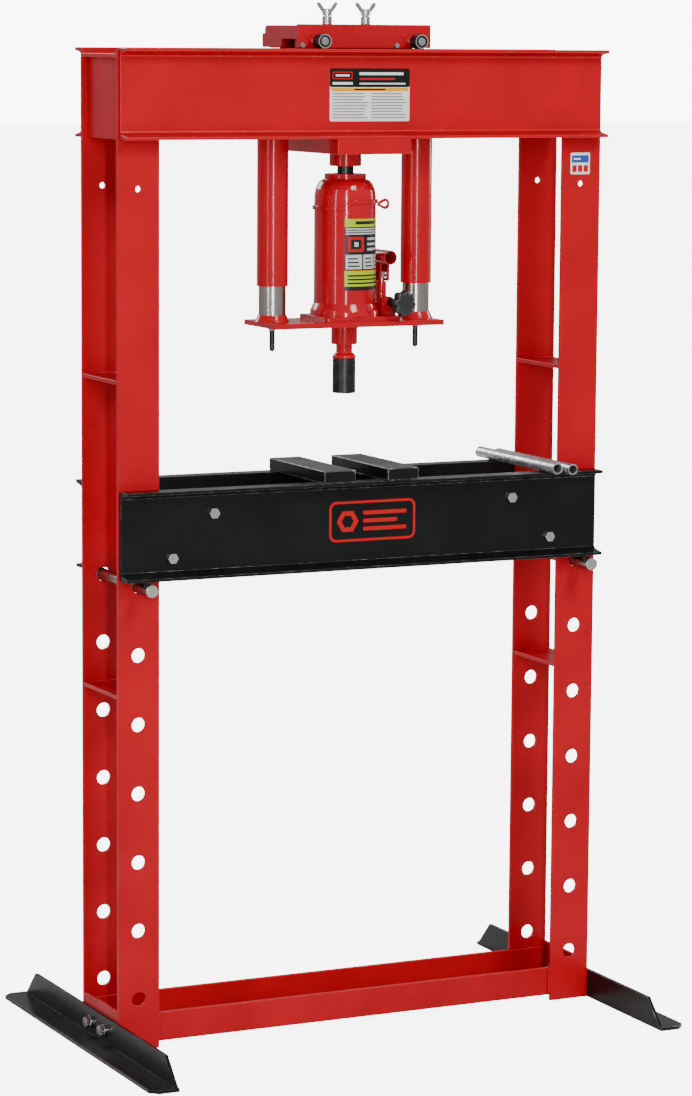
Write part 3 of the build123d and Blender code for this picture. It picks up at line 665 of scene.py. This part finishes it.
# ---------------------------------------------------------------- detailed pieces
def hand_knob():
    """Lobed hand knob with a crowned face, in place of its plain CAD shape."""
    joint = next(j for j in frame["joints"] if j["name"] == "release_valve_turn")
    direction = Vector(joint["axis"]).normalized()
    start = Vector(joint["pos_m"])
    turn = Vector((0, 0, 1)).rotation_difference(direction).to_matrix()
    profile = [
        (28.0, 5.2), (28.0, 8.4), (32.0, 9.0), (33.6, 11.0), (34.2, 18.0), (35.4, 21.8), (37.6, 23.2),
        (43.0, 23.5), (48.2, 23.2), (50.6, 21.4), (51.8, 17.6), (51.9, 9.0), (51.2, 7.8), (51.2, 0.1),
    ]
    bm = bmesh.new()
    around = 112
    rings = []
    for along, radius in profile:
        ring = []
        for number in range(around):
            angle = 2 * math.pi * number / around
            lobe = 1 - 0.20 * (1 - abs(math.cos(4 * angle))) * min(1, max(0, (radius - 9) / 9))
            local = Vector((math.cos(angle) * radius * lobe, math.sin(angle) * radius * lobe, along)) * MM
            ring.append(bm.verts.new(start + turn @ local))
        rings.append(ring)
    skin_loops(bm, rings, False)
    bm.faces.new(rings[0])
    bm.faces.new(rings[-1])
    knob = to_object("hand_knob", bm, [MATERIALS["knob_plastic"]], 50)
    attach(knob, "release_valve")
    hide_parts("release_knob")


def carrying_strap():
    """Thin strap round the tank that climbs at the front and ends in a rod loop on the pump side."""
    strap_low = 165.5           # above the tank's foot, in mm
    strap_climb = 11.5
    loop_level = 172
    section = ((0.1, -3.6), (3.4, -3.0), (3.4, 3.0), (0.1, 3.6))
    bm = bmesh.new()
    count = 120
    rings = []
    for number in range(count):
        angle = 2 * math.pi * number / count - math.pi
        climb = min(1, max(0, (math.degrees(angle) + 33) / 24))
        climb = climb * climb * (3 - 2 * climb) * min(1, (math.pi - angle) / 0.5)
        level = tank_low.z + (strap_low + strap_climb * climb) * MM
        ring = []
        for out, rise in section:
            radius = tank_high.x + out * MM
            place = (radius * math.sin(angle), -radius * math.cos(angle), level + rise * MM)
            ring.append(bm.verts.new(place))
        rings.append(ring)
    skin_loops(bm, rings, True)
    strap = to_object("carrying_strap", bm, [MATERIALS["jack_paint"]])
    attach(strap, "press_head")
    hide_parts("jack_band")
    band_low, band_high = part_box("jack_band")
    wide = (band_high.x - tank_high.x) / 2 + 1 * MM
    points = []
    for number in range(72):
        angle = 2 * math.pi * number / 72
        x = band_high.x - 2 * MM - wide + wide * math.cos(angle)
        y = band_low.y + (33 + 6 * math.cos(angle)) * MM
        swell = 0.62 + 0.38 * math.cos(angle)
        z = tank_low.z + (loop_level + 9.5 * swell * math.sin(angle)) * MM
        points.append(Vector((x, y, z)))
    bead("strap_loop", points, 2.5 * MM, "press_head", "jack_paint", True, 40 * MM)


def roller_rims():
    """Ground bright ring on the open face of each track roller."""
    section = ((10.3, -0.3), (10.3, 0.2), (12.2, 0.2), (12.2, -0.3))
    for node, body in BODIES.items():
        if not node.startswith("roller_") or node == "roller_axles":
            continue
        low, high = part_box(node)
        middle = (low + high) / 2
        face = low.y if middle.y < 0 else high.y
        outward = -1 if middle.y < 0 else 1
        bm = bmesh.new()
        count = 48
        loops = []
        for radius, depth in section:
            loop = []
            for number in range(count):
                angle = 2 * math.pi * number / count
                x = middle.x + radius * MM * math.cos(angle)
                z = middle.z + radius * MM * math.sin(angle)
                loop.append(bm.verts.new((x, face + outward * depth * MM, z)))
            loops.append(loop)
        skin_loops(bm, loops, True)
        rim = to_object(node + "_rim", bm, [BRIGHT_RIM])
        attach(rim, body)


# ---------------------------------------------------------------- camera, light and floor
def camera():
    """The view that the named camera values at the top describe."""
    data = bpy.data.cameras.new("camera")
    data.sensor_fit = "VERTICAL"
    data.sensor_height = 36
    data.lens = CAMERA_LENS
    eye = bpy.data.objects.new("camera", data)
    turn = Matrix.Rotation(math.radians(-CAMERA_YAW), 4, "Z")
    tilt = Matrix.Rotation(math.radians(90 + CAMERA_PITCH), 4, "X")
    roll = Matrix.Rotation(math.radians(CAMERA_ROLL), 4, "Z")
    eye.matrix_world = Matrix.Translation(CAMERA_PLACE) @ turn @ tilt @ roll
    bpy.context.scene.collection.objects.link(eye)
    bpy.context.scene.camera = eye


def soft_light(name, place, aim, size, power):
    """A rectangular area light at place, turned towards aim."""
    data = bpy.data.lights.new(name, "AREA")
    data.shape = "RECTANGLE"
    data.size, data.size_y = size
    data.energy = power
    lamp = bpy.data.objects.new(name, data)
    direction = Vector(aim) - Vector(place)
    lamp.rotation_euler = direction.to_track_quat("-Z", "Y").to_euler()
    lamp.location = place
    bpy.context.scene.collection.objects.link(lamp)


def studio():
    """White floor and sky, both brighter to the camera only, and five soft lights."""
    bm = bmesh.new()
    bmesh.ops.create_grid(bm, x_segments=2, y_segments=2, size=60)
    material, tree, shader = new_material("pale_floor")
    cloud = noise_at(tree, 2.0, 3.0)
    tone = two_colours(tree, cloud.outputs["Fac"], (0.83, 0.83, 0.82), (0.80, 0.80, 0.79))
    tree.links.new(tone, shader.inputs["Base Color"])
    shader.inputs["Roughness"].default_value = 0.6
    shader.inputs["Emission Color"].default_value = (1.0, 1.0, 1.0, 1)
    seen = tree.nodes.new("ShaderNodeLightPath").outputs["Is Camera Ray"]
    tree.links.new(spread(tree, seen, 0.0, 6.0, 0, 1), shader.inputs["Emission Strength"])
    floor = to_object("floor", bm, [material])
    floor.location.z = -0.2 * MM
    world = bpy.data.worlds.new("studio")
    world.use_nodes = True
    sky = world.node_tree
    sky.nodes["Background"].inputs["Color"].default_value = (0.97, 0.98, 1.0, 1)
    seen = sky.nodes.new("ShaderNodeLightPath").outputs["Is Camera Ray"]
    sky.links.new(spread(sky, seen, 0.45, 9.0, 0, 1), sky.nodes["Background"].inputs["Strength"])
    bpy.context.scene.world = world
    soft_light("key", (1.0, -4.6, 4.8), (0, 0, 0.9), (1.6, 1.6), 190)
    soft_light("front", (-1.9, -5.2, 2.2), (0, 0, 1.2), (0.24, 2.8), 150)
    soft_light("left", (-3.9, -2.2, 2.2), (0, 0, 1.2), (0.16, 2.8), 30)
    soft_light("side", (4.0, 0.6, 2.6), (0, 0, 1.0), (0.4, 2.8), 80)
    soft_light("back", (-1.5, 4.5, 3.2), (0, 0, 1.1), (2.4, 1.6), 110)


finish_frame()
beam_end_panels()
welds()
beam_label()
bed_mark()
upright_label()
jack_label()
hand_knob()
carrying_strap()
roller_rims()
camera()
studio()
